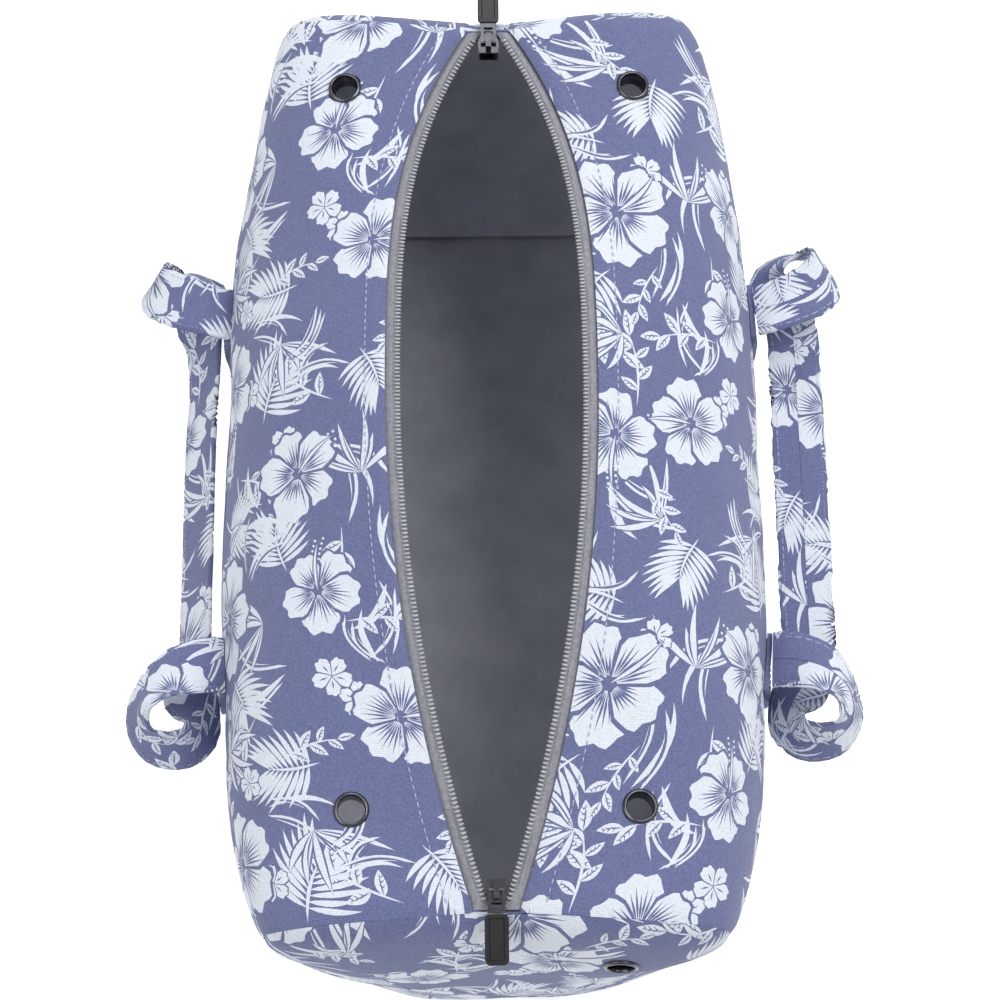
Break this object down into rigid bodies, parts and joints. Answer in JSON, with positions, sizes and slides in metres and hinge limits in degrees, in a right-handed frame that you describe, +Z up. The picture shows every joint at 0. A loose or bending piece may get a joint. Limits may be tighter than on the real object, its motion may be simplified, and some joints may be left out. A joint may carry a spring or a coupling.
{
  "type": "knitting bag",
  "caption": "Soft printed canvas knitting bag with an open two-slider zip, yarn eyelets, a stiffened base and two drooping strap handles",
  "frame": {"origin": "on the floor under the middle of the bag", "axes": "X along the zip from the left end to the right end, Y from the front long side to the back one, Z up"},
  "size_m": [0.4326, 0.3124, 0.212],
  "materials": {
    "printed_canvas": "matt canvas, blue with an off-white flower print",
    "lining": "plain grey woven lining",
    "board": "stiff base board",
    "zip_tape": "grey woven zip tape",
    "zip_coil": "silver grey nylon coil",
    "gunmetal": "polished gunmetal plate",
    "pull_tab": "smooth black"
  },
  "bodies": {
    "shell": {"base_panel": "printed_canvas", "base_board": "board", "base_lining": "lining", "front_panel": "printed_canvas", "front_lining": "lining", "front_zip_tape": "zip_tape", "front_zip_coil": "zip_coil", "front_handle_anchor_left": "printed_canvas", "front_handle_anchor_right": "printed_canvas", "back_panel": "printed_canvas", "back_lining": "lining", "back_zip_tape": "zip_tape", "back_zip_coil": "zip_coil", "back_handle_anchor_left": "printed_canvas", "back_handle_anchor_right": "printed_canvas", "left_end_panel": "printed_canvas", "left_end_lining": "lining", "right_end_panel": "printed_canvas", "right_end_lining": "lining", "eyelet_front_right": "gunmetal", "eyelet_washer_front_right": "gunmetal", "eyelet_back_right": "gunmetal", "eyelet_washer_back_right": "gunmetal", "eyelet_front_left": "gunmetal", "eyelet_washer_front_left": "gunmetal", "eyelet_back_left": "gunmetal", "eyelet_washer_back_left": "gunmetal", "eyelet_right_end": "gunmetal", "eyelet_washer_right_end": "gunmetal"},
    "front_strap": {"front_handle": "printed_canvas"},
    "back_strap": {"back_handle": "printed_canvas"},
    "left_slider": {"left_zip_slider": "gunmetal"},
    "left_pull": {"left_pull_loop": "gunmetal", "left_pull_tab": "pull_tab"},
    "right_slider": {"right_zip_slider": "gunmetal"},
    "right_pull": {"right_pull_loop": "gunmetal", "right_pull_tab": "pull_tab"}
  },
  "joints": [
    {"name": "front_handle_lift", "type": "hinge", "parent": "shell", "child": "front_strap", "pos_m": [0, -0.11764, 0.1453], "axis": [-1, 0, 0], "range_deg": [0, 70]},
    {"name": "back_handle_lift", "type": "hinge", "parent": "shell", "child": "back_strap", "pos_m": [0, 0.11764, 0.1453], "axis": [1, 0, 0], "range_deg": [0, 70]},
    {"name": "left_slider_travel", "type": "slide", "parent": "shell", "child": "left_slider", "axis": [1, 0, 0], "range_m": [0, 0.15]},
    {"name": "right_slider_travel", "type": "slide", "parent": "shell", "child": "right_slider", "axis": [-1, 0, 0], "range_m": [0, 0.15]},
    {"name": "left_pull_flip", "type": "hinge", "parent": "left_slider", "child": "left_pull", "pos_m": [-0.187, 0, 0.2018], "axis": [0, 1, 0], "range_deg": [0, 170]},
    {"name": "right_pull_flip", "type": "hinge", "parent": "right_slider", "child": "right_pull", "pos_m": [0.187, 0, 0.2018], "axis": [0, -1, 0], "range_deg": [0, 170]}
  ]
}
